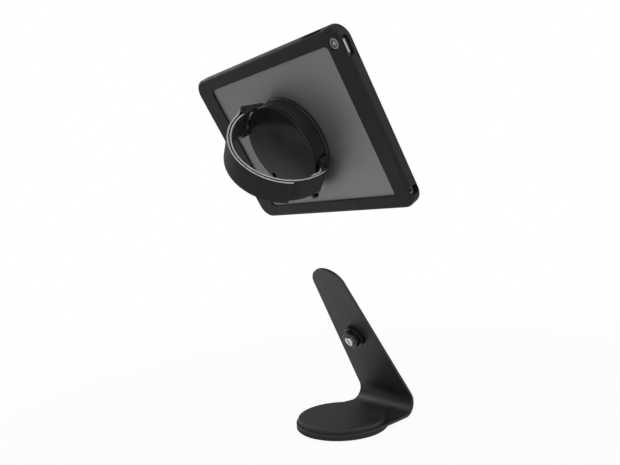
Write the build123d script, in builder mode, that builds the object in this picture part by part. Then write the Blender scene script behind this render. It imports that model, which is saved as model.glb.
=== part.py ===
"""Tablet kiosk kit: a bent-plate stand on a round base, and a cased tablet with a turning hand grip.

The stand's arm leans back over its base. The tablet is shown lifted off the arm, as photographed:
it slides down along the arm, which then passes between the grip's face and its strap, and a key
lock behind the arm pins the grip's face.

Frame: origin at the centre of the base pad's underside, +Z up, the user on the -Y side. The
tablet's own frame has x to the right seen from behind, y up along the arm and z out of its back.
"""

import os
from math import cos, radians, sin, tan

from build123d import *

os.makedirs("parts", exist_ok=True)

# Stand: base pad and bent plate
BASE_RADIUS = 53.2            # pad and the plate's round end
PAD_THICKNESS = 3.8
PAD_EDGE = 0.8                # bevel of the pad's lower rim
PLATE_THICKNESS = 3.0
PLATE_EDGE = 0.5              # eased, powder-coated edges
SIDE_TAPER = 6.2              # degrees on each side, along the developed sheet
ARM_LEAN = 29.3               # degrees from upright
ARM_LENGTH = 178.6            # flat stretch from the bend to the tip
TIP_RISE = 21.5               # height of the arm's rounded end
BEND_RADIUS = 14.0            # inside of the bend
BEND_SETBACK = 57.2           # from the base's centre to the bend's axis

# Stand: weight disc and its screws
WEIGHT_RADIUS = 51.0
WEIGHT_THICKNESS = 5.0
WEIGHT_EDGE = 1.9
BASE_SCREW_OFFSET = 32.0
BASE_SCREW_COUNT = 4
BASE_SCREW_RADIUS = 2.5
BASE_SCREW_HEAD = 4.6
BASE_SCREW_DEPTH = 3.4        # thread in the weight disc
BASE_SCREW_SOCKET = 1.5       # half the hex socket's width
SOCKET_SHARE = 0.75           # depth of a screw's socket in its head
SCREW_FIT = 0.25              # round a screw
THREAD_FIT = 0.05             # round a thread

# Lock on the back of the arm
LOCK_RISE = 83.0              # from the bend to the lock
LOCK_FLANGE_RADIUS = 13.6
LOCK_FLANGE_HEIGHT = 5.0
LOCK_GROOVE = 0.9             # step between flange and barrel
LOCK_GROOVE_RADIUS = 9.8
LOCK_BARREL_RADIUS = 11.0
LOCK_BARREL_TOP = 11.0        # above the arm
LOCK_BARREL_EDGE = 1.3
LOCK_SPIGOT_RADIUS = 6.3      # passes into the arm
LOCK_SPIGOT_SETBACK = 0.3     # end behind the arm's front face
LOCK_CYLINDER_RADIUS = 6.0
LOCK_CYLINDER_TOP = 13.2      # silver face above the arm
LOCK_CYLINDER_FOOT = 6.6
LOCK_CYLINDER_EDGE = 0.6
KEYWAY_LENGTH = 7.4
KEYWAY_WIDTH = 1.6
KEYWAY_DEPTH = 4.5
RUNNING_FIT = 0.05            # radial, for what turns or slides in a bore
LOCK_PIN_RADIUS = 2.6
LOCK_PIN_POINT = 0.7
LOCK_PIN_SETBACK = 0.5        # tip behind the arm's front face when withdrawn
LOCK_PIN_TRAVEL = 5.5
LOCK_SCREW_OFFSET = 9.8
LOCK_SCREW_RADIUS = 1.0
LOCK_SCREW_HEAD = 1.9
LOCK_SCREW_DEPTH = 2.6        # thread in the flange
LOCK_SCREW_SOCKET = 0.75
LOCK_SCREW_COUNT = 2

# Place of the tablet: docked against the arm, then lifted off
DOCK_GAP = 0.5                # grip face to arm, docked
DOCK_RISE = 45.2              # from the lock up to the grip's axis, docked
LIFT = 190.4                  # along the arm, from docked to the place shown
SWING_OUT = 23.4              # away from the arm over that lift
HALF_TURN = 180               # degrees

# Grip: fixed base on the tablet's back
ADHESIVE_RADIUS = 49.5
ADHESIVE_THICKNESS = 0.6
GRIP_BASE_RADIUS = 51.4
GRIP_BASE_THICKNESS = 3.4
GRIP_BASE_EDGE = 1.0
SPINDLE_RADIUS = 22.0
SPINDLE_BORE = 14.0
SPINDLE_HEIGHT = 8.4          # above the grip base
GLIDE_INNER = 27.0
GLIDE_OUTER = 43.0
GLIDE_THICKNESS = 2.0
STACK_GAP = 0.3               # between pieces that turn past each other

# Grip: turning ring, its cover and what holds it down
RING_RADIUS = 50.2
RING_WALL = 9.8
RING_TOP = 18.4               # above the tablet's back
RING_EDGE = 0.3
RING_FLAT = 43.6              # from the axis to the flats for the strap brackets
COVER_RADIUS = 50.2
COVER_THICKNESS = 3.3
COVER_EDGE = 0.8
COVER_SPIGOT = 1.6            # locating rim inside the ring
COVER_SPIGOT_WIDTH = 2.0
COVER_SPIGOT_FIT = 0.2
LOCK_SOCKET_FIT = 0.6         # round the lock pin
LOCK_SOCKET_DEPTH = 8.0       # through the cover into the ring's wall
RETAINER_RADIUS = 29.0
RETAINER_THICKNESS = 2.0
RETAINER_BORE = 10.0
RETAINER_SCREW_OFFSET = 18.0
RETAINER_SCREW_COUNT = 4
RETAINER_SCREW_RADIUS = 1.5
RETAINER_SCREW_HEAD = 2.7
RETAINER_SCREW_HEAD_HEIGHT = 1.2
RETAINER_SCREW_DEPTH = 7.0
RETAINER_SCREW_SOCKET = 1.0
STRAP_BEARING = 51.0          # the strap's line, turned from the tablet's long axis

# Strap: one band round both bars, its outer layer held on a panel of hook and loop
STRAP_WIDTH = 34.6
STRAP_THICKNESS = 2.0
STRAP_GAP = 0.3               # round the bars and at the sewn return
FASTENER_THICKNESS = 0.9
FASTENER_FIT = 0.15           # to the layers on both sides
FASTENER_WIDTH = 30.0
FASTENER_ANGLES = (164.0, 41.0)  # its ends on the high and the low arch
CROWN_PLACE = -3.6            # highest point, along the strap's line
CROWN_HEIGHT = 77.7           # middle of the inner layer above the tablet's back
HIGH_ARCH_RADIUS = 47.7
LOW_ARCH_RADIUS = 61.2
TAIL_ANGLE = 38.0             # where the outer layer ends, degrees up the lower arch
RETURN_ANGLES = (8.0, 17.0)   # the sewn return joins the arch, and ends
TAIL_JOIN_ANGLE = 10.0        # where the outer layer meets the inner one

# Strap brackets and bars
BAR_RADIUS = 1.8
BAR_DROP = 2.6                # of the high bar below the arch's end
BAR_HEAD_RADIUS = 2.7
BAR_HEAD = 1.2
BAR_FIT = 0.05
BRACKET_SIDE = 21.0           # from the strap's middle to a bracket's outer face
BRACKET_FAR_SIDE = 32.0       # the low bracket's longer side
BRACKET_WEB = 4.6
BRACKET_FOOT = 5.0            # lower edge above the tablet's back
BRACKET_TOP = 15.5
SEAT_GAP = 0.3                # round a bracket in the ring
EAR_THICKNESS = 3.4
EAR_RADIUS = 4.2              # round the bar
EAR_ROOT = 1.0                # of the web's thickness, clear of the ring above
TIE_WIDTH = 1.6               # tie of the high bracket, on its bar's inner side
TIE_HEIGHT = 6.0
TIE_SETBACK = 5.2             # from the bar's axis to the tie
TIE_RISE = 2.0                # the tie's top above the bar's axis
BRACKET_SCREW_SPACING = 24.0
BRACKET_SCREW_RADIUS = 1.5
BRACKET_SCREW_HEAD = 2.7
BRACKET_SCREW_DEPTH = 4.6     # thread in the ring's wall
BRACKET_SCREW_SOCKET = 1.0

# Tablet
TABLET_WIDTH = 257.0
TABLET_HEIGHT = 178.0
TABLET_CORNER = 8.0
TABLET_EDGE = 2.0
TABLET_PLACE = (1.4, 1.2)     # case and tablet, from the grip's axis
SHELL_THICKNESS = 6.7
SHELL_FLOOR = 1.2
SHELL_WALL = 2.6
GLASS_THICKNESS = 0.8
GLASS_INSET = 0.5
DISPLAY_SIDE = 20.0           # from the tablet's left and right sides
DISPLAY_END = 7.5             # from its upper and lower sides
DISPLAY_THICKNESS = 2.0
BATTERY_SIDE = 12.9           # from the shell's wall
BATTERY_END = 26.4
BATTERY_THICKNESS = 2.8
BATTERY_GAP = 6.0             # between the two cells
BATTERY_BOARD_GAP = 16.0
BOARD_WIDTH = 26.0
BOARD_SIDE = 14.9             # from the shell's wall
BOARD_END = 20.4
BOARD_THICKNESS = 0.9
SHIELD_MARGIN = 4.0           # of board left bare beside a shield
SHIELD_END_MARGIN = 5.0
SHIELD_THICKNESS = 1.5
CAMERA_SETBACKS = (7.3, 9.0)  # from the tablet's right and upper sides
CAMERA_RADIUS = 5.3
CAMERA_RISE = 1.3
CAMERA_WALL = 1.5
CAMERA_EDGE = 0.4
CAMERA_SINK = 0.6             # lens below the ring's top
FRONT_CAMERA_RADIUS = 2.2
FRONT_CAMERA_DEPTH = 2.4
FRONT_CAMERA_SETBACK = 4.3    # from the display's edge

# Tablet: buttons and sockets
SIDE_LEVEL = -3.9             # of buttons and sockets, from the tablet's back
BUTTON_WIDTH = 3.4
BUTTON_STAND = 1.6            # proud of the tablet's side
BUTTON_DEPTH = 2.0
BUTTON_TRAVEL = 0.5
BUTTON_FIT = 0.06
POWER_SETBACK = 15.0          # from the tablet's upper side
POWER_LENGTH = 13.6
VOLUME_SETBACKS = (38.4, 25.4)  # from the tablet's right side
VOLUME_LENGTH = 11.0
JACK_SETBACK = 10.8           # from the tablet's lower side
JACK_RADIUS = 2.4
JACK_BORE = 1.75
JACK_LENGTH = 14.0
JACK_BORE_DEPTH = 12.0
PORT_WIDTH = 9.4
PORT_HEIGHT = 3.4
PORT_WALL = 0.5
PORT_LENGTH = 7.5
PORT_DEPTH = 6.5
SPEAKER_HOLE_RADIUS = 0.9
SPEAKER_HOLE_COUNT = 6
SPEAKER_HOLE_PITCH = 3.4
SPEAKER_OFFSET = 29.0
SPEAKER_LENGTH = 24.0
SPEAKER_WIDTH = 6.0
SPEAKER_HEIGHT = 4.0

# Case: rear bumper and front frame
CASE_SIDE = 4.5               # beyond the tablet's left and right sides
CASE_END = 6.7                # beyond its upper and lower sides
CASE_CORNER = 17.0
CASE_BACK = 2.0               # proud of the tablet's back
CASE_SPLIT = -8.4             # joint between bumper and frame
CASE_FRONT = -12.0
CASE_BACK_EDGE = 4.2
CASE_FRONT_EDGE = 2.0
CASE_FIT = 0.3                # round the tablet
LIP_FIT = 0.15                # over the tablet's back and glass
WINDOW_LEFT = 29.9            # back lip, from the case's sides to the window
WINDOW_RIGHT = 21.2
WINDOW_UPPER = 15.3
WINDOW_LOWER = 15.5
WINDOW_CORNER = 5.0
LIP_INSET = 5.5               # front lip over the glass
LIP_CORNER = 5.0
LIP_THICKNESS = 1.6
LIP_OPEN = 1.5                # raised rim outside the lip
CAMERA_HOLE_RADIUS = 6.1
SLOT_HEIGHT = 7.4
SLOT_LEVEL = -2.9
SLOT_MARGIN = 2.8             # beyond a button's end
SLOT_CORNER = 2.6
JACK_SLOT_WIDTH = 8.6
JACK_SLOT_HEIGHT = 11.2
JACK_SLOT_LEVEL = -4.8
JACK_SLOT_CORNER = 3.6
PORT_SLOT_LENGTH = 20.0
SPEAKER_SLOT_LENGTH = 23.0
SPEAKER_SLOT_HEIGHT = 3.4
SPEAKER_SLOT_CORNER = 1.6
NOTCH_END = 49.7              # from the case's upper and lower sides
NOTCH_DEPTH = 3.0
NOTCH_CORNER = 1.2
OVERRUN = 10.0                # cuts run past what they cut

BASE = (Align.CENTER, Align.CENTER, Align.MIN)
TOP = (Align.CENTER, Align.CENTER, Align.MAX)

# Frames
lean = radians(ARM_LEAN)
arm_up = Vector(0, sin(lean), cos(lean))
arm_rear = Vector(0, cos(lean), -sin(lean))
foot_top = PAD_THICKNESS + PLATE_THICKNESS
bend_axis = Vector(0, -BEND_SETBACK, foot_top + BEND_RADIUS)
arm_root = bend_axis - arm_rear * BEND_RADIUS
lock_root = arm_root + arm_up * LOCK_RISE
grip_base_top = ADHESIVE_THICKNESS + GRIP_BASE_THICKNESS
cover_top = RING_TOP + COVER_THICKNESS
docked_depth = PLATE_THICKNESS + DOCK_GAP + cover_top
docked_origin = lock_root + arm_up * DOCK_RISE - arm_rear * docked_depth
tablet_origin = docked_origin + arm_up * LIFT - arm_rear * SWING_OUT
arm_plane = Plane(origin=lock_root, x_dir=(-1, 0, 0), z_dir=arm_rear)
tablet_plane = Plane(origin=tablet_origin, x_dir=(-1, 0, 0), z_dir=arm_rear)
bearing = radians(STRAP_BEARING)
strap_dir = tablet_plane.x_dir * cos(bearing) - tablet_plane.y_dir * sin(bearing)
ring_plane = Plane(origin=tablet_origin, x_dir=strap_dir, z_dir=arm_rear)
strap_plane = Plane(origin=tablet_origin, x_dir=strap_dir, z_dir=-ring_plane.y_dir)
arm_axis = Axis(lock_root, arm_rear)
back_axis = Axis(tablet_origin, arm_rear)
right_side = TABLET_PLACE[0] + TABLET_WIDTH / 2
left_side = TABLET_PLACE[0] - TABLET_WIDTH / 2
top_side = TABLET_PLACE[1] + TABLET_HEIGHT / 2
low_side = TABLET_PLACE[1] - TABLET_HEIGHT / 2
camera_x = right_side - CAMERA_SETBACKS[0]
camera_y = top_side - CAMERA_SETBACKS[1]
power_place = top_side - POWER_SETBACK
jack_place = low_side + JACK_SETBACK
volume_places = [right_side - setback for setback in VOLUME_SETBACKS]


def at(plane, x, y, z):
    """The plane moved to a point of its own frame."""
    point = plane.from_local_coords(Vector(x, y, z))
    return Plane(origin=point, x_dir=plane.x_dir, z_dir=plane.z_dir)


def side_plane(y, z):
    """Plane on the tablet's right side, z outwards, x along the side's height."""
    point = tablet_plane.from_local_coords(Vector(right_side, y, z))
    return Plane(origin=point, x_dir=tablet_plane.y_dir, z_dir=tablet_plane.x_dir)


def left_plane(y, z):
    """Plane on the tablet's left side, z outwards, x along the side's height."""
    point = tablet_plane.from_local_coords(Vector(left_side, y, z))
    return Plane(origin=point, x_dir=tablet_plane.y_dir, z_dir=-tablet_plane.x_dir)


def upper_plane(x, z):
    """Plane on the tablet's upper side, z outwards, x along the side."""
    point = tablet_plane.from_local_coords(Vector(x, top_side, z))
    return Plane(origin=point, x_dir=tablet_plane.x_dir, z_dir=tablet_plane.y_dir)


# Base pad: rubber disc with holes for the screw heads
with BuildPart() as base_pad:
    Cylinder(BASE_RADIUS, PAD_THICKNESS, align=BASE)
    with PolarLocations(BASE_SCREW_OFFSET, BASE_SCREW_COUNT, 45):
        Hole(BASE_SCREW_HEAD + SCREW_FIT)
    chamfer(base_pad.faces().sort_by(Axis.Z)[0].outer_wire().edges(), PAD_EDGE)
base_pad.part.label = "base_pad"
export_step(base_pad.part, "parts/base_pad.step")

# Bent plate: one taper along the developed sheet, tangent to the round foot
taper = radians(SIDE_TAPER)
bend_turn = 90 + ARM_LEAN
bend_length = (BEND_RADIUS + PLATE_THICKNESS / 2) * radians(bend_turn)


def half_width(distance):
    """Half the sheet's width at a developed distance from the base's centre."""
    return BASE_RADIUS / cos(taper) - distance * tan(taper)


foot_half = half_width(BEND_SETBACK)
root_half = half_width(BEND_SETBACK + bend_length)
tip_half = half_width(BEND_SETBACK + bend_length + ARM_LENGTH - TIP_RISE)
tangent_x = BASE_RADIUS * cos(taper)
tangent_y = -BASE_RADIUS * sin(taper)
tip_base = ARM_LENGTH - LOCK_RISE - TIP_RISE
sheet_middle = PLATE_THICKNESS / 2
foot_middle = Vector(0, -BEND_SETBACK, PAD_THICKNESS + sheet_middle)
root_middle = arm_root - arm_rear * sheet_middle

with BuildPart() as stand_plate:
    with BuildSketch(Plane.XY.offset(PAD_THICKNESS)):
        with BuildLine():
            Polyline(
                (tangent_x, tangent_y),
                (foot_half, -BEND_SETBACK),
                (-foot_half, -BEND_SETBACK),
                (-tangent_x, tangent_y),
            )
            ThreePointArc((-tangent_x, tangent_y), (0, BASE_RADIUS), (tangent_x, tangent_y))
        make_face()
    extrude(amount=PLATE_THICKNESS)
    with BuildSketch(at(arm_plane, 0, 0, -PLATE_THICKNESS)):
        with BuildLine():
            Polyline(
                (tip_half, tip_base),
                (root_half, -LOCK_RISE),
                (-root_half, -LOCK_RISE),
                (-tip_half, tip_base),
            )
            EllipticalCenterArc((0, tip_base), tip_half, TIP_RISE, start_angle=0, arc_size=HALF_TURN)
        make_face()
    extrude(amount=PLATE_THICKNESS)
    with BuildLine(Plane.YZ):
        bend_path = CenterArc(
            (bend_axis.Y, bend_axis.Z), BEND_RADIUS + sheet_middle, 270, -bend_turn
        )
    foot_plane = Plane(origin=foot_middle, x_dir=(1, 0, 0), z_dir=(0, -1, 0))
    with BuildSketch(foot_plane, mode=Mode.PRIVATE) as foot_cut:
        Rectangle(2 * foot_half, PLATE_THICKNESS)
    root_plane = Plane(origin=root_middle, x_dir=(1, 0, 0), z_dir=arm_up)
    with BuildSketch(root_plane, mode=Mode.PRIVATE) as root_cut:
        Rectangle(2 * root_half, PLATE_THICKNESS)
    sweep(sections=[foot_cut.sketch, root_cut.sketch], path=bend_path, multisection=True)
    rim = stand_plate.edges().filter_by(lambda edge: edge.length > foot_half / 2)
    rim = rim.filter_by(lambda edge: abs(edge.center().X) > 1 or edge.geom_type != GeomType.LINE)
    fillet(rim, PLATE_EDGE)
    with Locations((0, 0, PAD_THICKNESS)):
        with PolarLocations(BASE_SCREW_OFFSET, BASE_SCREW_COUNT, 45):
            Cone(
                BASE_SCREW_HEAD + SCREW_FIT,
                BASE_SCREW_RADIUS + SCREW_FIT,
                BASE_SCREW_HEAD - BASE_SCREW_RADIUS,
                align=BASE,
                mode=Mode.SUBTRACT,
            )
            Cylinder(
                BASE_SCREW_RADIUS + SCREW_FIT, PLATE_THICKNESS, align=BASE, mode=Mode.SUBTRACT
            )
    with BuildSketch(arm_plane):
        Circle(LOCK_SPIGOT_RADIUS + SCREW_FIT)
        with PolarLocations(LOCK_SCREW_OFFSET, LOCK_SCREW_COUNT):
            Circle(LOCK_SCREW_RADIUS + SCREW_FIT)
    extrude(amount=-PLATE_THICKNESS, mode=Mode.SUBTRACT)
    with Locations(at(arm_plane, 0, 0, -PLATE_THICKNESS)):
        with PolarLocations(LOCK_SCREW_OFFSET, LOCK_SCREW_COUNT):
            Cone(
                LOCK_SCREW_HEAD + SCREW_FIT,
                LOCK_SCREW_RADIUS + SCREW_FIT,
                LOCK_SCREW_HEAD - LOCK_SCREW_RADIUS,
                align=BASE,
                mode=Mode.SUBTRACT,
            )
stand_plate.part.label = "stand_plate"
export_step(stand_plate.part, "parts/stand_plate.step")

# Weight disc on the plate's round foot
with BuildPart(Plane.XY.offset(foot_top)) as base_weight:
    Cylinder(WEIGHT_RADIUS, WEIGHT_THICKNESS, align=BASE)
    fillet(base_weight.faces().sort_by(Axis.Z)[-1].edges(), WEIGHT_EDGE)
    with PolarLocations(BASE_SCREW_OFFSET, BASE_SCREW_COUNT, 45):
        Cylinder(
            BASE_SCREW_RADIUS + THREAD_FIT,
            BASE_SCREW_DEPTH + SCREW_FIT,
            align=BASE,
            mode=Mode.SUBTRACT,
        )
base_weight.part.label = "base_weight"
export_step(base_weight.part, "parts/base_weight.step")

# Countersunk screws from below, through the plate into the weight disc
with BuildPart(Plane.XY.offset(PAD_THICKNESS)) as base_screws:
    with PolarLocations(BASE_SCREW_OFFSET, BASE_SCREW_COUNT, 45):
        Cone(
            BASE_SCREW_HEAD,
            BASE_SCREW_RADIUS,
            BASE_SCREW_HEAD - BASE_SCREW_RADIUS,
            align=BASE,
        )
        Cylinder(BASE_SCREW_RADIUS, PLATE_THICKNESS + BASE_SCREW_DEPTH, align=BASE)
    with BuildSketch(Plane.XY.offset(PAD_THICKNESS)):
        with PolarLocations(BASE_SCREW_OFFSET, BASE_SCREW_COUNT, 45):
            RegularPolygon(BASE_SCREW_SOCKET, 6, major_radius=False)
    extrude(amount=SOCKET_SHARE * BASE_SCREW_HEAD, mode=Mode.SUBTRACT)
base_screws.part.label = "base_screws"
export_step(base_screws.part, "parts/base_screws.step")

# Lock housing: flange and barrel behind the arm, spigot through it
with BuildPart(arm_plane) as lock_housing:
    Cylinder(LOCK_FLANGE_RADIUS, LOCK_FLANGE_HEIGHT, align=BASE)
    fillet(lock_housing.edges().sort_by(arm_axis)[-1], PLATE_EDGE)
    Cylinder(LOCK_GROOVE_RADIUS, LOCK_FLANGE_HEIGHT + LOCK_GROOVE, align=BASE)
    with Locations((0, 0, LOCK_BARREL_TOP)):
        Cylinder(
            LOCK_BARREL_RADIUS,
            LOCK_BARREL_TOP - LOCK_FLANGE_HEIGHT - LOCK_GROOVE,
            align=TOP,
        )
    fillet(lock_housing.edges().sort_by(arm_axis)[-1], LOCK_BARREL_EDGE)
    Cylinder(LOCK_SPIGOT_RADIUS, PLATE_THICKNESS - LOCK_SPIGOT_SETBACK, align=TOP)
    with Locations((0, 0, LOCK_CYLINDER_FOOT - STACK_GAP)):
        Cylinder(
            LOCK_CYLINDER_RADIUS + RUNNING_FIT, OVERRUN, align=BASE, mode=Mode.SUBTRACT
        )
    Cylinder(LOCK_PIN_RADIUS + RUNNING_FIT, 2 * OVERRUN, mode=Mode.SUBTRACT)
    with PolarLocations(LOCK_SCREW_OFFSET, LOCK_SCREW_COUNT):
        Cylinder(
            LOCK_SCREW_RADIUS + THREAD_FIT,
            LOCK_SCREW_DEPTH + SCREW_FIT,
            align=BASE,
            mode=Mode.SUBTRACT,
        )
lock_housing.part.label = "lock_housing"
export_step(lock_housing.part, "parts/lock_housing.step")

# Key cylinder with its keyway
with BuildPart(at(arm_plane, 0, 0, LOCK_CYLINDER_FOOT)) as lock_cylinder:
    Cylinder(LOCK_CYLINDER_RADIUS, LOCK_CYLINDER_TOP - LOCK_CYLINDER_FOOT, align=BASE)
    chamfer(lock_cylinder.edges().sort_by(arm_axis)[-1], LOCK_CYLINDER_EDGE)
    with BuildSketch(at(arm_plane, 0, 0, LOCK_CYLINDER_TOP)):
        SlotOverall(KEYWAY_LENGTH, KEYWAY_WIDTH, rotation=90)
    extrude(amount=-KEYWAY_DEPTH, mode=Mode.SUBTRACT)
lock_cylinder.part.label = "lock_cylinder"
export_step(lock_cylinder.part, "parts/lock_cylinder.step")

# Lock pin, drawn back behind the arm's front face
pin_foot = LOCK_PIN_SETBACK - PLATE_THICKNESS
with BuildPart(at(arm_plane, 0, 0, pin_foot)) as lock_pin:
    Cylinder(LOCK_PIN_RADIUS, LOCK_CYLINDER_FOOT - STACK_GAP - pin_foot, align=BASE)
    chamfer(lock_pin.edges().sort_by(arm_axis)[0], LOCK_PIN_POINT)
lock_pin.part.label = "lock_pin"
export_step(lock_pin.part, "parts/lock_pin.step")

# Flush screws from the arm's front face into the lock's flange
with BuildPart(at(arm_plane, 0, 0, -PLATE_THICKNESS)) as lock_screws:
    with PolarLocations(LOCK_SCREW_OFFSET, LOCK_SCREW_COUNT):
        Cone(
            LOCK_SCREW_HEAD,
            LOCK_SCREW_RADIUS,
            LOCK_SCREW_HEAD - LOCK_SCREW_RADIUS,
            align=BASE,
        )
        Cylinder(LOCK_SCREW_RADIUS, PLATE_THICKNESS + LOCK_SCREW_DEPTH, align=BASE)
    with BuildSketch(at(arm_plane, 0, 0, -PLATE_THICKNESS)):
        with PolarLocations(LOCK_SCREW_OFFSET, LOCK_SCREW_COUNT):
            RegularPolygon(LOCK_SCREW_SOCKET, 6, major_radius=False)
    extrude(amount=SOCKET_SHARE * LOCK_SCREW_HEAD, mode=Mode.SUBTRACT)
lock_screws.part.label = "lock_screws"
export_step(lock_screws.part, "parts/lock_screws.step")

# Adhesive disc between tablet and grip
with BuildPart(tablet_plane) as adhesive_disc:
    Cylinder(ADHESIVE_RADIUS, ADHESIVE_THICKNESS, align=BASE)
adhesive_disc.part.label = "adhesive_disc"
export_step(adhesive_disc.part, "parts/adhesive_disc.step")

# Grip base: fixed disc with a hollow spindle
with BuildPart(at(tablet_plane, 0, 0, ADHESIVE_THICKNESS)) as grip_base:
    Cylinder(GRIP_BASE_RADIUS, GRIP_BASE_THICKNESS, align=BASE)
    fillet(grip_base.edges().sort_by(back_axis)[-1], GRIP_BASE_EDGE)
    with Locations((0, 0, GRIP_BASE_THICKNESS)):
        Cylinder(SPINDLE_RADIUS, SPINDLE_HEIGHT, align=BASE)
        Cylinder(SPINDLE_BORE, SPINDLE_HEIGHT, align=BASE, mode=Mode.SUBTRACT)
    with Locations((0, 0, GRIP_BASE_THICKNESS + SPINDLE_HEIGHT)):
        with PolarLocations(RETAINER_SCREW_OFFSET, RETAINER_SCREW_COUNT, 45):
            Cylinder(
                RETAINER_SCREW_RADIUS + THREAD_FIT,
                RETAINER_SCREW_DEPTH + SCREW_FIT,
                align=TOP,
                mode=Mode.SUBTRACT,
            )
grip_base.part.label = "grip_base"
export_step(grip_base.part, "parts/grip_base.step")

# Glide washer under the turning ring
with BuildPart(at(tablet_plane, 0, 0, grip_base_top)) as glide_washer:
    Cylinder(GLIDE_OUTER, GLIDE_THICKNESS, align=BASE)
    Cylinder(GLIDE_INNER, GLIDE_THICKNESS, align=BASE, mode=Mode.SUBTRACT)
glide_washer.part.label = "glide_washer"
export_step(glide_washer.part, "parts/glide_washer.step")

# Turning ring: wall and web round the spindle, seats for the strap brackets
spindle_top = grip_base_top + SPINDLE_HEIGHT
web_foot = grip_base_top + GLIDE_THICKNESS + STACK_GAP
ring_foot = grip_base_top + STACK_GAP
seat_top = BRACKET_TOP + SEAT_GAP
with BuildPart(at(ring_plane, 0, 0, ring_foot)) as grip_ring:
    Cylinder(RING_RADIUS, RING_TOP - ring_foot, align=BASE)
    chamfer(grip_ring.edges().filter_by(GeomType.CIRCLE), RING_EDGE)
    Cylinder(RING_RADIUS - RING_WALL, RING_TOP - ring_foot, align=BASE, mode=Mode.SUBTRACT)
    with Locations((0, 0, web_foot - ring_foot)):
        Cylinder(RING_RADIUS - RING_WALL, spindle_top - STACK_GAP - web_foot, align=BASE)
    Cylinder(GLIDE_OUTER + STACK_GAP, web_foot - ring_foot, align=BASE, mode=Mode.SUBTRACT)
    Cylinder(SPINDLE_RADIUS + RUNNING_FIT, 4 * OVERRUN, mode=Mode.SUBTRACT)
    for side in (-1, 1):
        with Locations((side * (RING_FLAT + OVERRUN / 2), 0, 0)):
            Box(
                OVERRUN,
                2 * RING_RADIUS,
                seat_top - ring_foot,
                align=BASE,
                mode=Mode.SUBTRACT,
            )
    for side in (-1, 1):
        for row in (-1, 1):
            screw_y = row * BRACKET_SCREW_SPACING / 2
            screw_z = (BRACKET_FOOT + BRACKET_TOP) / 2 - ring_foot
            with Locations(Location((side * RING_FLAT, screw_y, screw_z), (0, 90, 0))):
                Cylinder(
                    BRACKET_SCREW_RADIUS + THREAD_FIT,
                    2 * (BRACKET_SCREW_DEPTH + SCREW_FIT),
                    mode=Mode.SUBTRACT,
                )
    with Locations((0, -DOCK_RISE, RING_TOP + COVER_THICKNESS - ring_foot)):
        Cylinder(
            LOCK_PIN_RADIUS + LOCK_SOCKET_FIT,
            LOCK_SOCKET_DEPTH,
            align=TOP,
            mode=Mode.SUBTRACT,
        )
grip_ring.part.label = "grip_ring"
export_step(grip_ring.part, "parts/grip_ring.step")

# Cover of the grip, with the hole through which the lock pin enters the ring's wall
with BuildPart(at(ring_plane, 0, 0, RING_TOP)) as grip_cover:
    Cylinder(COVER_RADIUS, COVER_THICKNESS, align=BASE)
    fillet(grip_cover.edges().sort_by(back_axis)[-1], COVER_EDGE)
    spigot_radius = RING_RADIUS - RING_WALL - COVER_SPIGOT_FIT
    Cylinder(spigot_radius, COVER_SPIGOT, align=TOP)
    Cylinder(spigot_radius - COVER_SPIGOT_WIDTH, COVER_SPIGOT, align=TOP, mode=Mode.SUBTRACT)
    with Locations((0, -DOCK_RISE, 0)):
        Hole(LOCK_PIN_RADIUS + LOCK_SOCKET_FIT)
grip_cover.part.label = "grip_cover"
export_step(grip_cover.part, "parts/grip_cover.step")

# Retainer plate over the ring's web, and its screws into the spindle
with BuildPart(at(tablet_plane, 0, 0, spindle_top)) as retainer_plate:
    Cylinder(RETAINER_RADIUS, RETAINER_THICKNESS, align=BASE)
    Cylinder(RETAINER_BORE, RETAINER_THICKNESS, align=BASE, mode=Mode.SUBTRACT)
    with PolarLocations(RETAINER_SCREW_OFFSET, RETAINER_SCREW_COUNT, 45):
        Cylinder(
            RETAINER_SCREW_RADIUS + SCREW_FIT,
            RETAINER_THICKNESS,
            align=BASE,
            mode=Mode.SUBTRACT,
        )
retainer_plate.part.label = "retainer_plate"
export_step(retainer_plate.part, "parts/retainer_plate.step")

with BuildPart(at(tablet_plane, 0, 0, spindle_top + RETAINER_THICKNESS)) as retainer_screws:
    with PolarLocations(RETAINER_SCREW_OFFSET, RETAINER_SCREW_COUNT, 45):
        Cylinder(RETAINER_SCREW_HEAD, RETAINER_SCREW_HEAD_HEIGHT, align=BASE)
        Cylinder(RETAINER_SCREW_RADIUS, RETAINER_THICKNESS + RETAINER_SCREW_DEPTH, align=TOP)
    head_top = spindle_top + RETAINER_THICKNESS + RETAINER_SCREW_HEAD_HEIGHT
    with BuildSketch(at(tablet_plane, 0, 0, head_top)):
        with PolarLocations(RETAINER_SCREW_OFFSET, RETAINER_SCREW_COUNT, 45):
            RegularPolygon(RETAINER_SCREW_SOCKET, 6, major_radius=False)
    extrude(amount=-SOCKET_SHARE * RETAINER_SCREW_HEAD_HEIGHT, mode=Mode.SUBTRACT)
retainer_screws.part.label = "retainer_screws"
export_step(retainer_screws.part, "parts/retainer_screws.step")

# Strap: one band laid round both bars, drawn as its long edge's outline
half = STRAP_THICKNESS / 2
return_layer = STRAP_THICKNESS + STRAP_GAP
tail_layer = STRAP_THICKNESS + FASTENER_THICKNESS + 2 * FASTENER_FIT
wrap = BAR_RADIUS + STRAP_GAP + half
high_centre = Vector(CROWN_PLACE, CROWN_HEIGHT - HIGH_ARCH_RADIUS)
low_centre = Vector(CROWN_PLACE, CROWN_HEIGHT - LOW_ARCH_RADIUS)
high_bar = Vector(high_centre.X - HIGH_ARCH_RADIUS - wrap, high_centre.Y - BAR_DROP)
low_bar = Vector(low_centre.X + LOW_ARCH_RADIUS - wrap, low_centre.Y)


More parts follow.
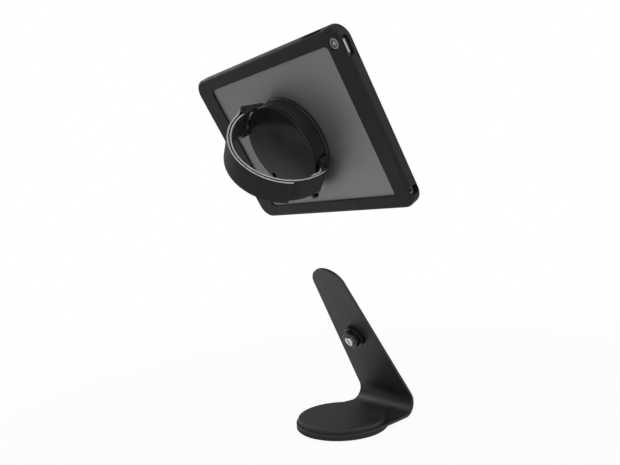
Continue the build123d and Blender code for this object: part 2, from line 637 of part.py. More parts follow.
def strap_side(side):
    """One long face of the strap, from the sewn return to the free tail."""
    out = side * half
    sewn = CenterArc(
        low_centre,
        LOW_ARCH_RADIUS - return_layer + out,
        RETURN_ANGLES[1],
        RETURN_ANGLES[0] - RETURN_ANGLES[1],
    )
    low_loop = CenterArc(low_bar, wrap - out, 180, 180)
    Spline(sewn @ 1, low_loop @ 0, tangents=[sewn % 1, low_loop % 0])
    CenterArc(low_centre, LOW_ARCH_RADIUS - out, 0, 90)
    CenterArc(high_centre, HIGH_ARCH_RADIUS - out, 90, 90)
    high_loop = CenterArc(high_bar, wrap + out, 0, -180)
    Line((high_centre.X - HIGH_ARCH_RADIUS + out, high_centre.Y), high_loop @ 0)
    outer_high = CenterArc(
        high_centre,
        HIGH_ARCH_RADIUS + tail_layer + out,
        180 - TAIL_JOIN_ANGLE,
        TAIL_JOIN_ANGLE - 90,
    )
    Spline(high_loop @ 1, outer_high @ 0, tangents=[high_loop % 1, outer_high % 0])
    outer_low = CenterArc(low_centre, LOW_ARCH_RADIUS + tail_layer + out, 90, TAIL_ANGLE - 90)
    return sewn @ 0, outer_low @ 1


with BuildPart() as strap:
    with BuildSketch(at(strap_plane, 0, 0, -STRAP_WIDTH / 2)):
        with BuildLine():
            left_ends = strap_side(1)
            right_ends = strap_side(-1)
            Line(left_ends[0], right_ends[0])
            Line(left_ends[1], right_ends[1])
        make_face()
    extrude(amount=STRAP_WIDTH)
strap.part.label = "strap"
export_step(strap.part, "parts/strap.step")


def fastener_side(side):
    """One long face of the panel between the strap's two layers."""
    out = (tail_layer + side * FASTENER_THICKNESS) / 2
    start, end = FASTENER_ANGLES
    over_high = CenterArc(high_centre, HIGH_ARCH_RADIUS + out, start, 90 - start)
    over_low = CenterArc(low_centre, LOW_ARCH_RADIUS + out, 90, end - 90)
    return over_high @ 0, over_low @ 1


# Hook-and-loop panel that holds the strap's outer layer on the inner one
with BuildPart() as strap_fastener:
    with BuildSketch(at(strap_plane, 0, 0, -FASTENER_WIDTH / 2)):
        with BuildLine():
            outer_ends = fastener_side(1)
            inner_ends = fastener_side(-1)
            Line(outer_ends[0], inner_ends[0])
            Line(outer_ends[1], inner_ends[1])
        make_face()
    extrude(amount=FASTENER_WIDTH)
strap_fastener.part.label = "strap_fastener"
export_step(strap_fastener.part, "parts/strap_fastener.step")

# Bars that the strap turns round, with a head at each end
high_span = 2 * BRACKET_SIDE
low_span = BRACKET_SIDE + BRACKET_FAR_SIDE
low_middle = (BRACKET_FAR_SIDE - BRACKET_SIDE) / 2
with BuildPart(at(strap_plane, high_bar.X, high_bar.Y, 0)) as high_bar_pin:
    Cylinder(BAR_RADIUS, high_span)
    for side in (-1, 1):
        with Locations((0, 0, side * (high_span + BAR_HEAD) / 2)):
            Cylinder(BAR_HEAD_RADIUS, BAR_HEAD)
high_bar_pin.part.label = "high_bar_pin"
export_step(high_bar_pin.part, "parts/high_bar_pin.step")

with BuildPart(at(strap_plane, low_bar.X, low_bar.Y, low_middle)) as low_bar_pin:
    Cylinder(BAR_RADIUS, low_span)
    for side in (-1, 1):
        with Locations((0, 0, side * (low_span + BAR_HEAD) / 2)):
            Cylinder(BAR_HEAD_RADIUS, BAR_HEAD)
low_bar_pin.part.label = "low_bar_pin"
export_step(low_bar_pin.part, "parts/low_bar_pin.step")

# High bracket: web on the ring's seat, two ears out to the bar, a tie between them
web_middle = RING_FLAT + BRACKET_WEB / 2
ear_root = RING_FLAT + BRACKET_WEB - EAR_ROOT / 2
web_height = BRACKET_TOP - BRACKET_FOOT
web_level = (BRACKET_FOOT + BRACKET_TOP) / 2
tie_place = high_bar.X + TIE_SETBACK
tie_level = high_bar.Y + TIE_RISE - TIE_HEIGHT / 2
with BuildPart() as high_bracket:
    with BuildSketch(at(strap_plane, 0, 0, -BRACKET_SIDE)):
        with Locations((-web_middle, web_level)):
            Rectangle(BRACKET_WEB, web_height)
    extrude(amount=high_span)
    for start in (-BRACKET_SIDE, BRACKET_SIDE - EAR_THICKNESS):
        with BuildSketch(at(strap_plane, 0, 0, start)):
            with Locations((-ear_root, web_level)):
                Rectangle(EAR_ROOT, web_height)
            with Locations(high_bar):
                Circle(EAR_RADIUS)
            with Locations((tie_place, tie_level)):
                Rectangle(TIE_WIDTH, TIE_HEIGHT)
            make_hull()
        extrude(amount=EAR_THICKNESS)
    with BuildSketch(at(strap_plane, 0, 0, -BRACKET_SIDE)):
        with Locations((tie_place, tie_level)):
            Rectangle(TIE_WIDTH, TIE_HEIGHT)
    extrude(amount=high_span)
    with BuildSketch(at(strap_plane, 0, 0, -BRACKET_SIDE)):
        with Locations(high_bar):
            Circle(BAR_RADIUS + BAR_FIT)
    extrude(amount=high_span, mode=Mode.SUBTRACT)
    for row in (-1, 1):
        screw_y = row * BRACKET_SCREW_SPACING / 2
        with Locations(at(ring_plane, -web_middle, screw_y, web_level) * Rotation(0, 90, 0)):
            Cylinder(BRACKET_SCREW_RADIUS + SCREW_FIT, 2 * BRACKET_WEB, mode=Mode.SUBTRACT)
high_bracket.part.label = "high_bracket"
export_step(high_bracket.part, "parts/high_bracket.step")

# Low bracket: no tie, one ear more on its longer side
ear_starts = (-BRACKET_SIDE, BRACKET_SIDE - EAR_THICKNESS, BRACKET_FAR_SIDE - EAR_THICKNESS)
with BuildPart() as low_bracket:
    with BuildSketch(at(strap_plane, 0, 0, -BRACKET_SIDE)):
        with Locations((web_middle, web_level)):
            Rectangle(BRACKET_WEB, web_height)
    extrude(amount=low_span)
    for start in ear_starts:
        with BuildSketch(at(strap_plane, 0, 0, start)):
            with Locations((ear_root, web_level)):
                Rectangle(EAR_ROOT, web_height)
            with Locations(low_bar):
                Circle(EAR_RADIUS)
            make_hull()
        extrude(amount=EAR_THICKNESS)
    with BuildSketch(at(strap_plane, 0, 0, -BRACKET_SIDE)):
        with Locations(low_bar):
            Circle(BAR_RADIUS + BAR_FIT)
    extrude(amount=low_span, mode=Mode.SUBTRACT)
    for row in (-1, 1):
        screw_y = row * BRACKET_SCREW_SPACING / 2
        with Locations(at(ring_plane, web_middle, screw_y, web_level) * Rotation(0, 90, 0)):
            Cylinder(BRACKET_SCREW_RADIUS + SCREW_FIT, 2 * BRACKET_WEB, mode=Mode.SUBTRACT)
low_bracket.part.label = "low_bracket"
export_step(low_bracket.part, "parts/low_bracket.step")

# Screws that hold both brackets to the ring
with BuildPart() as bracket_screws:
    for side in (-1, 1):
        for row in (-1, 1):
            seat = at(
                ring_plane,
                side * (RING_FLAT + BRACKET_WEB),
                row * BRACKET_SCREW_SPACING / 2,
                web_level,
            )
            screw_plane = Plane(origin=seat.origin, x_dir=arm_rear, z_dir=strap_dir * side)
            with Locations(screw_plane):
                Cylinder(BRACKET_SCREW_HEAD, BRACKET_SCREW_RADIUS, align=BASE)
                Cylinder(BRACKET_SCREW_RADIUS, BRACKET_WEB + BRACKET_SCREW_DEPTH, align=TOP)
            with BuildSketch(screw_plane.offset(BRACKET_SCREW_RADIUS)):
                RegularPolygon(BRACKET_SCREW_SOCKET, 6, major_radius=False)
            extrude(amount=-SOCKET_SHARE * BRACKET_SCREW_RADIUS, mode=Mode.SUBTRACT)
bracket_screws.part.label = "bracket_screws"
export_step(bracket_screws.part, "parts/bracket_screws.step")

# Tablet shell: metal back with a thin floor, open to the front
pocket_width = TABLET_WIDTH - 2 * SHELL_WALL
pocket_height = TABLET_HEIGHT - 2 * SHELL_WALL
tablet_x, tablet_y = TABLET_PLACE
lens_radius = CAMERA_RADIUS - CAMERA_WALL
display_width = TABLET_WIDTH - 2 * DISPLAY_SIDE
display_height = TABLET_HEIGHT - 2 * DISPLAY_END
board_x = tablet_x + pocket_width / 2 - BOARD_SIDE - BOARD_WIDTH / 2
board_height = pocket_height - 2 * BOARD_END
battery_start = tablet_x - pocket_width / 2 + BATTERY_SIDE
battery_end = board_x - BOARD_WIDTH / 2 - BATTERY_BOARD_GAP
battery_width = (battery_end - battery_start - BATTERY_GAP) / 2
battery_height = pocket_height - 2 * BATTERY_END
with BuildPart() as tablet_shell:
    with BuildSketch(at(tablet_plane, tablet_x, tablet_y, -SHELL_THICKNESS)):
        RectangleRounded(TABLET_WIDTH, TABLET_HEIGHT, TABLET_CORNER)
    extrude(amount=SHELL_THICKNESS)
    fillet(tablet_shell.faces().sort_by(back_axis)[-1].edges(), TABLET_EDGE)
    with BuildSketch(at(tablet_plane, tablet_x, tablet_y, -SHELL_THICKNESS)):
        RectangleRounded(pocket_width, pocket_height, TABLET_CORNER - SHELL_WALL)
    extrude(amount=SHELL_THICKNESS - SHELL_FLOOR, mode=Mode.SUBTRACT)
    with BuildSketch(tablet_plane):
        with Locations((camera_x, camera_y)):
            Circle(lens_radius)
    extrude(amount=-SHELL_THICKNESS, mode=Mode.SUBTRACT)
    with BuildSketch(side_plane(power_place, SIDE_LEVEL)):
        SlotOverall(POWER_LENGTH + 2 * BUTTON_FIT, BUTTON_WIDTH + 2 * BUTTON_FIT)
        with Locations((jack_place - power_place, 0)):
            Circle(JACK_RADIUS)
    extrude(amount=-OVERRUN, mode=Mode.SUBTRACT)
    for place in volume_places:
        with BuildSketch(upper_plane(place, SIDE_LEVEL)):
            SlotOverall(VOLUME_LENGTH + 2 * BUTTON_FIT, BUTTON_WIDTH + 2 * BUTTON_FIT)
        extrude(amount=-2 * SHELL_WALL, mode=Mode.SUBTRACT)
    with BuildSketch(left_plane(tablet_y, SIDE_LEVEL)):
        SlotOverall(PORT_WIDTH, PORT_HEIGHT)
        for side in (-1, 1):
            with Locations((side * SPEAKER_OFFSET, 0)):
                with GridLocations(SPEAKER_HOLE_PITCH, 0, SPEAKER_HOLE_COUNT, 1):
                    Circle(SPEAKER_HOLE_RADIUS)
    extrude(amount=-2 * SHELL_WALL, mode=Mode.SUBTRACT)
tablet_shell.part.label = "tablet_shell"
export_step(tablet_shell.part, "parts/tablet_shell.step")

# Front glass and the display behind it
with BuildPart() as front_glass:
    with BuildSketch(at(tablet_plane, tablet_x, tablet_y, -SHELL_THICKNESS)):
        RectangleRounded(
            TABLET_WIDTH - 2 * GLASS_INSET,
            TABLET_HEIGHT - 2 * GLASS_INSET,
            TABLET_CORNER - GLASS_INSET,
        )
    extrude(amount=-GLASS_THICKNESS)
front_glass.part.label = "front_glass"
export_step(front_glass.part, "parts/front_glass.step")

with BuildPart() as display_panel:
    with BuildSketch(at(tablet_plane, tablet_x, tablet_y, -SHELL_THICKNESS)):
        Rectangle(display_width, display_height)
    extrude(amount=DISPLAY_THICKNESS)
display_panel.part.label = "display_panel"
export_step(display_panel.part, "parts/display_panel.step")

# Battery cells and logic board on the shell's floor
with BuildPart() as battery_cells:
    battery_x = (battery_start + battery_end) / 2
    with BuildSketch(at(tablet_plane, battery_x, tablet_y, -SHELL_FLOOR)):
        with GridLocations(battery_width + BATTERY_GAP, 0, 2, 1):
            Rectangle(battery_width, battery_height)
    extrude(amount=-BATTERY_THICKNESS)
battery_cells.part.label = "battery_cells"
export_step(battery_cells.part, "parts/battery_cells.step")

with BuildPart() as logic_board:
    with BuildSketch(at(tablet_plane, board_x, tablet_y, -SHELL_FLOOR)):
        Rectangle(BOARD_WIDTH, board_height)
    extrude(amount=-BOARD_THICKNESS)
logic_board.part.label = "logic_board"
export_step(logic_board.part, "parts/logic_board.step")

board_top = SHELL_FLOOR + BOARD_THICKNESS
with BuildPart() as board_shields:
    with BuildSketch(at(tablet_plane, board_x, tablet_y, -board_top)):
        with GridLocations(0, board_height / 2, 1, 2):
            Rectangle(BOARD_WIDTH - 2 * SHIELD_MARGIN, board_height / 2 - 2 * SHIELD_END_MARGIN)
    extrude(amount=-SHIELD_THICKNESS)
board_shields.part.label = "board_shields"
export_step(board_shields.part, "parts/board_shields.step")

# Rear camera: ring on the back, lens in it
with BuildPart(at(tablet_plane, camera_x, camera_y, 0)) as camera_ring:
    Cylinder(CAMERA_RADIUS, CAMERA_RISE, align=BASE)
    fillet(camera_ring.edges().sort_by(back_axis)[-1], CAMERA_EDGE)
    Cylinder(lens_radius, CAMERA_RISE, align=BASE, mode=Mode.SUBTRACT)
camera_ring.part.label = "camera_ring"
export_step(camera_ring.part, "parts/camera_ring.step")

with BuildPart(at(tablet_plane, camera_x, camera_y, -SHELL_FLOOR)) as camera_lens:
    Cylinder(lens_radius, SHELL_FLOOR + CAMERA_RISE - CAMERA_SINK, align=BASE)
camera_lens.part.label = "camera_lens"
export_step(camera_lens.part, "parts/camera_lens.step")

# Front camera behind the glass, beside the display
front_camera_x = tablet_x + display_width / 2 + FRONT_CAMERA_SETBACK
with BuildPart(at(tablet_plane, front_camera_x, tablet_y, -SHELL_THICKNESS)) as front_camera:
    Cylinder(FRONT_CAMERA_RADIUS, FRONT_CAMERA_DEPTH, align=BASE)
front_camera.part.label = "front_camera"
export_step(front_camera.part, "parts/front_camera.step")

# Side buttons
with BuildPart() as power_button:
    with BuildSketch(side_plane(power_place, SIDE_LEVEL).offset(-BUTTON_DEPTH)):
        SlotOverall(POWER_LENGTH, BUTTON_WIDTH)
    extrude(amount=BUTTON_DEPTH + BUTTON_STAND)
power_button.part.label = "power_button"
export_step(power_button.part, "parts/power_button.step")

with BuildPart() as volume_down:
    with BuildSketch(upper_plane(volume_places[0], SIDE_LEVEL).offset(-BUTTON_DEPTH)):
        SlotOverall(VOLUME_LENGTH, BUTTON_WIDTH)
    extrude(amount=BUTTON_DEPTH + BUTTON_STAND)
volume_down.part.label = "volume_down"
export_step(volume_down.part, "parts/volume_down.step")

with BuildPart() as volume_up:
    with BuildSketch(upper_plane(volume_places[1], SIDE_LEVEL).offset(-BUTTON_DEPTH)):
        SlotOverall(VOLUME_LENGTH, BUTTON_WIDTH)
    extrude(amount=BUTTON_DEPTH + BUTTON_STAND)
volume_up.part.label = "volume_up"
export_step(volume_up.part, "parts/volume_up.step")

# Headphone socket
with BuildPart(side_plane(jack_place, SIDE_LEVEL)) as audio_jack:
    Cylinder(JACK_RADIUS, JACK_LENGTH, align=TOP)
    Cylinder(JACK_BORE, JACK_BORE_DEPTH, align=TOP, mode=Mode.SUBTRACT)
audio_jack.part.label = "audio_jack"
export_step(audio_jack.part, "parts/audio_jack.step")

# Charging socket: metal sleeve with a closed back
with BuildPart() as charge_port:
    with BuildSketch(left_plane(tablet_y, SIDE_LEVEL)):
        SlotOverall(PORT_WIDTH, PORT_HEIGHT)
    extrude(amount=-PORT_LENGTH)
    with BuildSketch(left_plane(tablet_y, SIDE_LEVEL)):
        SlotOverall(PORT_WIDTH - 2 * PORT_WALL, PORT_HEIGHT - 2 * PORT_WALL)
    extrude(amount=-PORT_DEPTH, mode=Mode.SUBTRACT)
charge_port.part.label = "charge_port"
export_step(charge_port.part, "parts/charge_port.step")

# Loudspeakers behind their rows of holes
with BuildPart() as speakers:
    with BuildSketch(left_plane(tablet_y, SIDE_LEVEL).offset(-SHELL_WALL)):
        for side in (-1, 1):
            with Locations((side * SPEAKER_OFFSET, 0)):
                Rectangle(SPEAKER_LENGTH, SPEAKER_HEIGHT)
    extrude(amount=-SPEAKER_WIDTH)
speakers.part.label = "speakers"
export_step(speakers.part, "parts/speakers.step")

# Case bumper: back lip with window, walls with cut-outs for buttons and sockets
case_width = TABLET_WIDTH + 2 * CASE_SIDE
case_height = TABLET_HEIGHT + 2 * CASE_END
window_width = case_width - WINDOW_LEFT - WINDOW_RIGHT
window_height = case_height - WINDOW_LOWER - WINDOW_UPPER
window_x = tablet_x + (WINDOW_LEFT - WINDOW_RIGHT) / 2
window_y = tablet_y + (WINDOW_LOWER - WINDOW_UPPER) / 2
notch_length = case_height - 2 * NOTCH_END
with BuildPart() as case_bumper:
    with BuildSketch(at(tablet_plane, tablet_x, tablet_y, CASE_SPLIT)):
        RectangleRounded(case_width, case_height, CASE_CORNER)
    extrude(amount=CASE_BACK - CASE_SPLIT)
    fillet(case_bumper.faces().sort_by(back_axis)[-1].edges(), CASE_BACK_EDGE)
    with BuildSketch(at(tablet_plane, tablet_x, tablet_y, CASE_SPLIT)):
        RectangleRounded(
            TABLET_WIDTH + 2 * CASE_FIT, TABLET_HEIGHT + 2 * CASE_FIT, TABLET_CORNER + CASE_FIT
        )
    extrude(amount=LIP_FIT - CASE_SPLIT, mode=Mode.SUBTRACT)
    with BuildSketch(tablet_plane):
        with Locations((window_x, window_y)):
            RectangleRounded(window_width, window_height, WINDOW_CORNER)
        with Locations((camera_x, camera_y)):
            Circle(CAMERA_HOLE_RADIUS)
    extrude(amount=OVERRUN, mode=Mode.SUBTRACT)
    with BuildSketch(side_plane(power_place, SLOT_LEVEL)):
        RectangleRounded(POWER_LENGTH + 2 * SLOT_MARGIN, SLOT_HEIGHT, SLOT_CORNER)
    extrude(amount=OVERRUN, mode=Mode.SUBTRACT)
    with BuildSketch(side_plane(jack_place, JACK_SLOT_LEVEL)):
        RectangleRounded(JACK_SLOT_WIDTH, JACK_SLOT_HEIGHT, JACK_SLOT_CORNER)
    extrude(amount=OVERRUN, mode=Mode.SUBTRACT)
    volume_middle = (volume_places[0] + volume_places[1]) / 2
    volume_span = volume_places[1] - volume_places[0] + VOLUME_LENGTH
    with BuildSketch(upper_plane(volume_middle, SLOT_LEVEL)):
        RectangleRounded(volume_span + 2 * SLOT_MARGIN, SLOT_HEIGHT, SLOT_CORNER)
    extrude(amount=OVERRUN, mode=Mode.SUBTRACT)
    with BuildSketch(left_plane(tablet_y, SLOT_LEVEL)):
        RectangleRounded(PORT_SLOT_LENGTH, SLOT_HEIGHT, SLOT_CORNER)
    extrude(amount=OVERRUN, mode=Mode.SUBTRACT)
    with BuildSketch(left_plane(tablet_y, SIDE_LEVEL)):
        for side in (-1, 1):
            with Locations((side * SPEAKER_OFFSET, 0)):
                RectangleRounded(SPEAKER_SLOT_LENGTH, SPEAKER_SLOT_HEIGHT, SPEAKER_SLOT_CORNER)
    extrude(amount=OVERRUN, mode=Mode.SUBTRACT)
    with BuildSketch(at(tablet_plane, tablet_x - case_width / 2, tablet_y, CASE_FRONT)):
        RectangleRounded(2 * NOTCH_DEPTH, notch_length, NOTCH_CORNER)
    extrude(amount=2 * OVERRUN, mode=Mode.SUBTRACT)
case_bumper.part.label = "case_bumper"
export_step(case_bumper.part, "parts/case_bumper.step")

# Case frame: raised rim and a lip over the glass, clipped to the bumper's front
glass_front = SHELL_THICKNESS + GLASS_THICKNESS
lip_top = -glass_front - LIP_FIT
lip_foot = lip_top - LIP_THICKNESS
with BuildPart() as case_frame:
    with BuildSketch(at(tablet_plane, tablet_x, tablet_y, CASE_FRONT)):
        RectangleRounded(case_width, case_height, CASE_CORNER)
    extrude(amount=CASE_SPLIT - CASE_FRONT)
    fillet(case_frame.faces().sort_by(back_axis)[0].edges(), CASE_FRONT_EDGE)
    with BuildSketch(at(tablet_plane, tablet_x, tablet_y, CASE_FRONT)):
        RectangleRounded(
            TABLET_WIDTH - 2 * LIP_OPEN, TABLET_HEIGHT - 2 * LIP_OPEN, TABLET_CORNER - LIP_OPEN
        )
    extrude(amount=lip_foot - CASE_FRONT, mode=Mode.SUBTRACT)
    with BuildSketch(at(tablet_plane, tablet_x, tablet_y, CASE_SPLIT)):
        RectangleRounded(TABLET_WIDTH, TABLET_HEIGHT, TABLET_CORNER)
    extrude(amount=lip_top - CASE_SPLIT)
    with BuildSketch(at(tablet_plane, tablet_x, tablet_y, CASE_FRONT)):
        RectangleRounded(
            TABLET_WIDTH - 2 * LIP_INSET, TABLET_HEIGHT - 2 * LIP_INSET, LIP_CORNER
        )
    extrude(amount=OVERRUN, mode=Mode.SUBTRACT)
    with BuildSketch(side_plane(jack_place, JACK_SLOT_LEVEL)):
        RectangleRounded(JACK_SLOT_WIDTH, JACK_SLOT_HEIGHT, JACK_SLOT_CORNER)
    extrude(amount=OVERRUN, mode=Mode.SUBTRACT)
    with BuildSketch(at(tablet_plane, tablet_x - case_width / 2, tablet_y, CASE_FRONT)):
        RectangleRounded(2 * NOTCH_DEPTH, notch_length, NOTCH_CORNER)
    extrude(amount=OVERRUN, mode=Mode.SUBTRACT)
case_frame.part.label = "case_frame"
export_step(case_frame.part, "parts/case_frame.step")
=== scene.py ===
"""Looks of the tablet kiosk kit: strap, finishes, floor, light and camera."""

from math import cos, pi, radians, sin

import bmesh
import bpy
from mathutils import Matrix, Vector


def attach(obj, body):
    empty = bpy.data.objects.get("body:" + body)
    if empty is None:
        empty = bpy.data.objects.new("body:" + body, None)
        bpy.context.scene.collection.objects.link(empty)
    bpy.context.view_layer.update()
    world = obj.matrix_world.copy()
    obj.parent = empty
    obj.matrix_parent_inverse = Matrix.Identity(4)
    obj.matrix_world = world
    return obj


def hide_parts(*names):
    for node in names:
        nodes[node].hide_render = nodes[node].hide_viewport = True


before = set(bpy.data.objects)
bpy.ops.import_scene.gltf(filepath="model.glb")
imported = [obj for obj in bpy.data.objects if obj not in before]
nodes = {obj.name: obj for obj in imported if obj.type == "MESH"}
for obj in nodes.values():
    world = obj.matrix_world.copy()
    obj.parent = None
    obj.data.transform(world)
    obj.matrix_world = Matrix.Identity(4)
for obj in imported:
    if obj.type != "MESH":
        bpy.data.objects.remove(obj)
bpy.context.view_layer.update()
MM = 0.001

ARM_LEAN = 29.3
PAD_AND_PLATE = 6.8 * MM
PLATE = 3.0 * MM
BEND_RADIUS = 14.0 * MM
BEND_SETBACK = 57.2 * MM
LOCK_RISE = 83.0 * MM
LIFT = 235.6 * MM
STAND_OFF = 48.6 * MM          # tablet's back to the arm's rear face, across the arm
STRAP_BEARING = 51.0           # strap line's angle on the tablet's back
REAR_CAMERA = (122.6, 81.2, 0)         # places on the tablet, in millimetres
HEADPHONE_SOCKET = (129.9, -77, -3.9)

lean = radians(ARM_LEAN)
arm_up = Vector((0, sin(lean), cos(lean)))
arm_rear = Vector((0, cos(lean), -sin(lean)))
right = Vector((-1, 0, 0))
bend_axis = Vector((0, -BEND_SETBACK, PAD_AND_PLATE + BEND_RADIUS))
lock_root = bend_axis - arm_rear * BEND_RADIUS + arm_up * LOCK_RISE
tablet_origin = lock_root + arm_up * LIFT - arm_rear * STAND_OFF
bearing = radians(STRAP_BEARING)
strap_line = right * cos(bearing) - arm_up * sin(bearing)
strap_across = -arm_rear.cross(strap_line)


def on_tablet(x, y, z):
    """A point of the tablet's own frame, in millimetres, seen from behind."""
    return tablet_origin + (right * x + arm_up * y + arm_rear * z) * MM


# Camera at the photograph's place
CAMERA_PLACE = (-0.5532, 0.4637, 0.2469)
CAMERA_ACROSS = (-0.61714, -0.7843, -0.0629)
CAMERA_UPWARD = (-0.01558, -0.0677, 0.9976)
CAMERA_LENS = 36.37
CAMERA_SENSOR = 36
CAMERA_CLIP = 0.01


def place_camera():
    across = Vector(CAMERA_ACROSS)
    upward = Vector(CAMERA_UPWARD)
    backward = across.cross(upward).normalized()
    upward = backward.cross(across).normalized()
    across.normalize()
    lens = bpy.data.cameras.new("view")
    lens.sensor_width = CAMERA_SENSOR
    lens.lens = CAMERA_LENS
    lens.clip_start = CAMERA_CLIP
    camera = bpy.data.objects.new("view", lens)
    turn = Matrix((across, upward, backward)).transposed().to_4x4()
    camera.matrix_world = Matrix.Translation(CAMERA_PLACE) @ turn
    bpy.context.scene.collection.objects.link(camera)
    bpy.context.scene.camera = camera


# Material maths
class Wire:
    """A value in a material; sums, products and the like add Math nodes."""

    def __init__(self, finish, socket):
        self.finish = finish
        self.socket = socket

    def maths(self, operation, *values):
        return self.finish.node("Math", {"operation": operation}, dict(enumerate(values)))

    def __add__(self, other):
        return self.maths("ADD", self, other)

    def __sub__(self, other):
        return self.maths("SUBTRACT", self, other)

    def __rsub__(self, other):
        return self.maths("SUBTRACT", other, self)

    def __mul__(self, other):
        return self.maths("MULTIPLY", self, other)

    def wave(self):
        return self.maths("SINE", self)

    def larger(self, other):
        return self.maths("MAXIMUM", self, other)

    def size(self):
        return self.maths("ABSOLUTE", self)

    def band(self, low, high, start=0.0, end=1.0):
        """Runs smoothly from start to end while the value goes from low to high."""
        values = {"Value": self, 1: low, 2: high, 3: start, 4: end}
        return self.finish.node(
            "MapRange", {"interpolation_type": "SMOOTHSTEP", "clamp": True}, values
        )


class Finish:
    """A material while it is put together."""

    def __init__(self, name):
        self.material = bpy.data.materials.new(name)
        self.material.use_nodes = True
        self.tree = self.material.node_tree
        self.tree.nodes.clear()
        self.places = {}

    def node(self, kind, settings=None, values=None, output=0):
        """Adds a node; its settings go in first, then the values or wires of its sockets."""
        made = self.tree.nodes.new("ShaderNode" + kind)
        for key, value in (settings or {}).items():
            setattr(made, key, value)
        for key, value in (values or {}).items():
            if isinstance(value, Wire):
                self.tree.links.new(value.socket, made.inputs[key])
            elif hasattr(value, "__len__") and made.inputs[key].type == "RGBA":
                made.inputs[key].default_value = (*value, 1)
            else:
                made.inputs[key].default_value = value
        return Wire(self, made.outputs[output]) if made.outputs else None

    def place(self):
        """Object coordinates, in metres."""
        if "object" not in self.places:
            self.places["object"] = self.node("TexCoord", output="Object")
        return self.places["object"]

    def spread(self):
        """The piece's own flat coordinates, in metres along and across."""
        if "uv" not in self.places:
            self.places["uv"] = self.node("TexCoord", output="UV")
        return self.places["uv"]

    def noise(self, scale, detail=2.0, rough=0.5, source=None):
        values = {"Vector": source or self.place(), "Scale": scale}
        values.update({"Detail": detail, "Roughness": rough})
        return self.node("TexNoise", None, values)

    def cells(self, scale):
        values = {"Vector": self.place(), "Scale": scale}
        return self.node("TexVoronoi", {"feature": "F1"}, values)

    def parts(self, source):
        split = self.node("SeparateXYZ", None, {0: source})
        outputs = split.socket.node.outputs
        return [Wire(self, outputs[index]) for index in range(3)]

    def away_from(self, point, along):
        """Distance from a line through a point, in metres."""
        shifted = self.node(
            "VectorMath", {"operation": "SUBTRACT"}, {0: self.place(), 1: tuple(point)}
        )
        crossed = self.node(
            "VectorMath", {"operation": "CROSS_PRODUCT"}, {0: shifted, 1: tuple(along)}
        )
        return self.node("VectorMath", {"operation": "LENGTH"}, {0: crossed}, output="Value")

    def mix(self, share, first, second):
        return self.node(
            "Mix",
            {"data_type": "RGBA"},
            {0: share, 6: first, 7: second},
            output=2,
        )

    def bump(self, height, depth, strength=1.0):
        """Surface relief: height from 0 to 1 over a depth in metres."""
        values = {"Height": height, "Distance": depth, "Strength": strength}
        return self.node("Bump", None, values)

    def done(self, **sockets):
        """The surface itself, and the finished material."""
        named = {key.replace("_", " "): value for key, value in sockets.items()}
        shader = self.node("BsdfPrincipled", None, named)
        self.node("OutputMaterial", None, {"Surface": shader})
        return self.material


def powder_coat():
    """Black powder coat: fine pebbled skin, a little dust in its shine."""
    finish = Finish("powder_coat")
    pebbles = finish.noise(1500, 3, 0.55)
    clouds = finish.noise(28, 3)
    tone = finish.mix(clouds.band(0.35, 0.7), (0.012, 0.012, 0.0124), (0.016, 0.016, 0.0164))
    return finish.done(
        Base_Color=tone,
        Roughness=clouds.band(0.3, 0.75, 0.44, 0.53),
        Specular_IOR_Level=0.38,
        Normal=finish.bump(pebbles, 0.00009, 0.5),
    )


def rubber():
    """Matt black rubber with a light bloom."""
    finish = Finish("rubber")
    grain = finish.noise(2600, 2)
    bloom = finish.noise(45, 4, 0.6)
    tone = finish.mix(bloom.band(0.4, 0.75), (0.012, 0.012, 0.0124), (0.019, 0.019, 0.0195))
    return finish.done(
        Base_Color=tone,
        Roughness=bloom.band(0.3, 0.7, 0.62, 0.76),
        Specular_IOR_Level=0.28,
        Normal=finish.bump(grain, 0.00006, 0.5),
    )


def moulded(name, dark, light, gloss, relief):
    """Moulded plastic with a fine spark-eroded grain."""
    finish = Finish(name)
    grain = finish.cells(1900)
    clouds = finish.noise(34, 3)
    return finish.done(
        Base_Color=finish.mix(clouds.band(0.35, 0.7), dark, light),
        Roughness=clouds.band(0.3, 0.75, gloss, gloss + 0.09),
        Specular_IOR_Level=0.42,
        Normal=finish.bump(grain, relief, 0.4),
    )


def gloss_black():
    """Satin black plastic with a faint haze."""
    finish = Finish("gloss_black")
    haze = finish.noise(26, 3)
    grain = finish.cells(2400)
    return finish.done(
        Base_Color=finish.mix(haze.band(0.35, 0.7), (0.009, 0.009, 0.0092), (0.011, 0.011, 0.0112)),
        Roughness=haze.band(0.3, 0.75, 0.14, 0.17),
        Specular_IOR_Level=0.22,
        Normal=finish.bump(grain, 0.000004, 0.3),
    )


def soft_touch():
    """Case polymer: velvety, with faint handling marks."""
    finish = Finish("soft_touch")
    grain = finish.noise(2200, 2)
    marks = finish.noise(60, 5, 0.65)
    tone = finish.mix(marks.band(0.4, 0.75), (0.0085, 0.0085, 0.0088), (0.012, 0.012, 0.0124))
    return finish.done(
        Base_Color=tone,
        Roughness=marks.band(0.35, 0.7, 0.5, 0.62),
        Specular_IOR_Level=0.2,
        Normal=finish.bump(grain, 0.00005, 0.5),
    )


def anodised():
    """Bead-blasted and anodised aluminium, grey."""
    finish = Finish("anodised_aluminium")
    beads = finish.noise(3800, 2, 0.6)
    clouds = finish.noise(14, 2)
    speckle = finish.mix(beads.band(0.3, 0.7), (0.172, 0.18, 0.178), (0.202, 0.211, 0.209))
    return finish.done(
        Base_Color=speckle,
        Metallic=0.75,
        Roughness=clouds.band(0.3, 0.7, 0.42, 0.47),
        Normal=finish.bump(beads, 0.00003, 0.35),
    )


